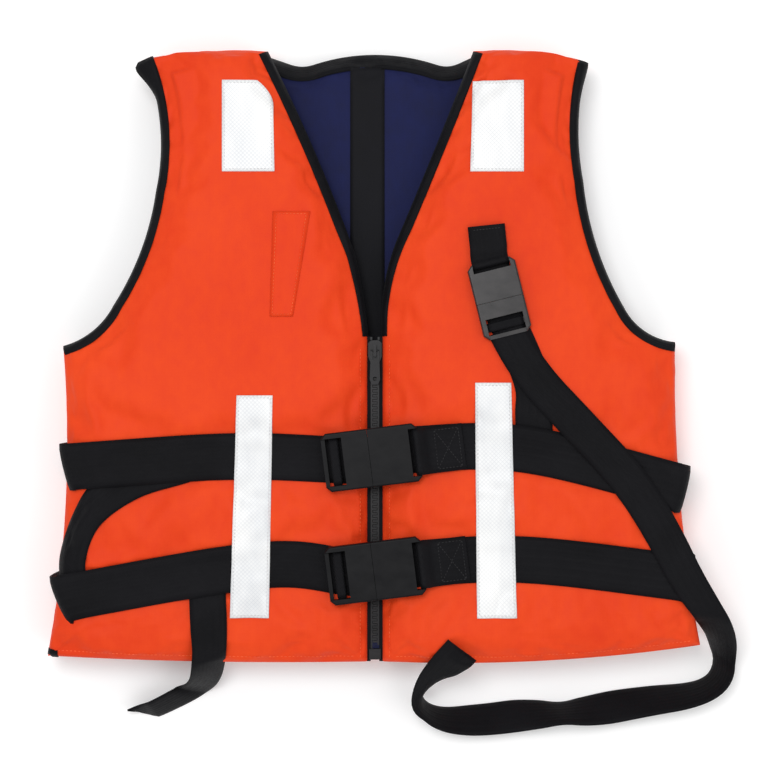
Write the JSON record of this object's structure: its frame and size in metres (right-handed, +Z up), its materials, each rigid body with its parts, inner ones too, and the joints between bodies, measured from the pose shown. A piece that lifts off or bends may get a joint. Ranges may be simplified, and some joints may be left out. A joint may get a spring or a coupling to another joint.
{
  "type": "life jacket",
  "caption": "Adult foam life jacket with zip front, two waist belts, chest buckle and trailing leg strap, lying flat on its back.",
  "frame": {"origin": "on the floor under the middle of the vest, which lies on its back (free straps left out)", "axes": "+Z up from the floor through the back panel to the front panels, +Y towards the collar, +X towards the wearer's left"},
  "size_m": [0.7256, 0.7198, 0.0994],
  "materials": {
    "orange_shell": "woven nylon",
    "navy_lining": "woven polyester",
    "foam": "closed-cell foam",
    "black_binding": "grosgrain",
    "black_webbing": "woven webbing",
    "reflective_tape": "retroreflective",
    "zip_tape": "woven tape",
    "zip_teeth": "moulded acetal",
    "zip_metal": "black enamel",
    "buckle_plastic": "moulded acetal"
  },
  "bodies": {
    "vest": {"armhole_binding_left": "black_binding", "armhole_binding_right": "black_binding", "chest_buckle_socket": "buckle_plastic", "chest_pocket": "orange_shell", "chest_strap_tail": "black_webbing", "chest_tab": "black_webbing", "collar_binding": "black_binding", "foam_back_inner": "foam", "foam_back_outer": "foam", "foam_front_left_inner": "foam", "foam_front_left_outer": "foam", "foam_front_right_inner": "foam", "foam_front_right_outer": "foam", "leg_strap_left": "black_webbing", "leg_strap_right": "black_webbing", "leg_strap_right_tail": "black_webbing", "lining_back": "navy_lining", "lining_centre_strip": "black_binding", "lining_front_left": "navy_lining", "lining_front_right": "navy_lining", "lower_belt": "black_webbing", "lower_buckle_socket": "buckle_plastic", "neck_binding_left": "black_binding", "neck_binding_right": "black_binding", "reflective_patch_left": "reflective_tape", "reflective_patch_right": "reflective_tape", "reflective_strip_left": "reflective_tape", "reflective_strip_right": "reflective_tape", "shell_back": "orange_shell", "shell_front_left": "orange_shell", "shell_front_right": "orange_shell", "shoulder_left": "orange_shell", "shoulder_right": "orange_shell", "side_gusset_left": "orange_shell", "side_gusset_right": "orange_shell", "upper_belt": "black_webbing", "upper_buckle_socket": "buckle_plastic", "zip_box": "zip_teeth", "zip_pin": "zip_teeth", "zip_tape_left": "zip_tape", "zip_tape_right": "zip_tape", "zip_teeth_left": "zip_teeth", "zip_teeth_right": "zip_teeth", "zip_top_stops": "zip_teeth"},
    "upper_plug": {"upper_buckle_plug": "buckle_plastic", "upper_belt_fold": "black_webbing"},
    "upper_latch_a": {"upper_buckle_latch_a": "buckle_plastic"},
    "upper_latch_b": {"upper_buckle_latch_b": "buckle_plastic"},
    "lower_plug": {"lower_buckle_plug": "buckle_plastic", "lower_belt_fold": "black_webbing"},
    "lower_latch_a": {"lower_buckle_latch_a": "buckle_plastic"},
    "lower_latch_b": {"lower_buckle_latch_b": "buckle_plastic"},
    "chest_plug": {"chest_buckle_plug": "buckle_plastic", "chest_strap_fold": "black_webbing"},
    "chest_latch_a": {"chest_buckle_latch_a": "buckle_plastic"},
    "chest_latch_b": {"chest_buckle_latch_b": "buckle_plastic"},
    "zip_slider": {"zip_slider": "zip_metal"},
    "zip_pull": {"zip_pull": "zip_metal"}
  },
  "joints": [
    {"name": "upper_buckle_release", "type": "slide", "parent": "vest", "child": "upper_plug", "axis": [-0.9925, -0.1219, 0], "range_m": [0, 0.036], "deforming": ["upper_buckle_latch_a", "upper_buckle_latch_b"]},
    {"name": "upper_latch_squeeze_a", "type": "hinge", "parent": "upper_plug", "child": "upper_latch_a", "pos_m": [-0.00405, -0.12503, 0.0927], "axis": [0, 0, 1], "range_deg": [0, 14], "stiffness_Nm_per_rad": 0.02},
    {"name": "upper_latch_squeeze_b", "type": "hinge", "parent": "upper_plug", "child": "upper_latch_b", "pos_m": [-0.00893, -0.08533, 0.0927], "axis": [0, 0, -1], "range_deg": [0, 14], "stiffness_Nm_per_rad": 0.02},
    {"name": "lower_buckle_release", "type": "slide", "parent": "vest", "child": "lower_plug", "axis": [-0.9925, -0.1219, 0], "range_m": [0, 0.036], "deforming": ["lower_buckle_latch_a", "lower_buckle_latch_b"]},
    {"name": "lower_latch_squeeze_a", "type": "hinge", "parent": "lower_plug", "child": "lower_latch_a", "pos_m": [-0.00005, -0.24103, 0.0927], "axis": [0, 0, 1], "range_deg": [0, 14], "stiffness_Nm_per_rad": 0.02},
    {"name": "lower_latch_squeeze_b", "type": "hinge", "parent": "lower_plug", "child": "lower_latch_b", "pos_m": [-0.00493, -0.20133, 0.0927], "axis": [0, 0, -1], "range_deg": [0, 14], "stiffness_Nm_per_rad": 0.02},
    {"name": "chest_buckle_release", "type": "slide", "parent": "vest", "child": "chest_plug", "axis": [0.2419, -0.9703, 0], "range_m": [0, 0.03], "deforming": ["chest_buckle_latch_a", "chest_buckle_latch_b"]},
    {"name": "chest_latch_squeeze_a", "type": "hinge", "parent": "chest_plug", "child": "chest_latch_a", "pos_m": [0.14272, 0.05927, 0.0939], "axis": [0, 0, 1], "range_deg": [0, 14], "stiffness_Nm_per_rad": 0.02},
    {"name": "chest_latch_squeeze_b", "type": "hinge", "parent": "chest_plug", "child": "chest_latch_b", "pos_m": [0.11361, 0.05202, 0.0939], "axis": [0, 0, -1], "range_deg": [0, 14], "stiffness_Nm_per_rad": 0.02},
    {"name": "zip_slider_travel", "type": "slide", "parent": "vest", "child": "zip_slider", "axis": [0, -1, 0], "range_m": [0, 0.296], "deforming": ["zip_teeth_left", "zip_teeth_right"]},
    {"name": "zip_pull_swing", "type": "hinge", "parent": "zip_slider", "child": "zip_pull", "pos_m": [0, 0.005, 0.0701], "axis": [-1, 0, 0], "range_deg": [0, 170]}
  ],
  "couplings": [
    {"joint": "upper_latch_squeeze_b", "follows": "upper_latch_squeeze_a", "ratio": 1},
    {"joint": "lower_latch_squeeze_b", "follows": "lower_latch_squeeze_a", "ratio": 1},
    {"joint": "chest_latch_squeeze_b", "follows": "chest_latch_squeeze_a", "ratio": 1}
  ]
}
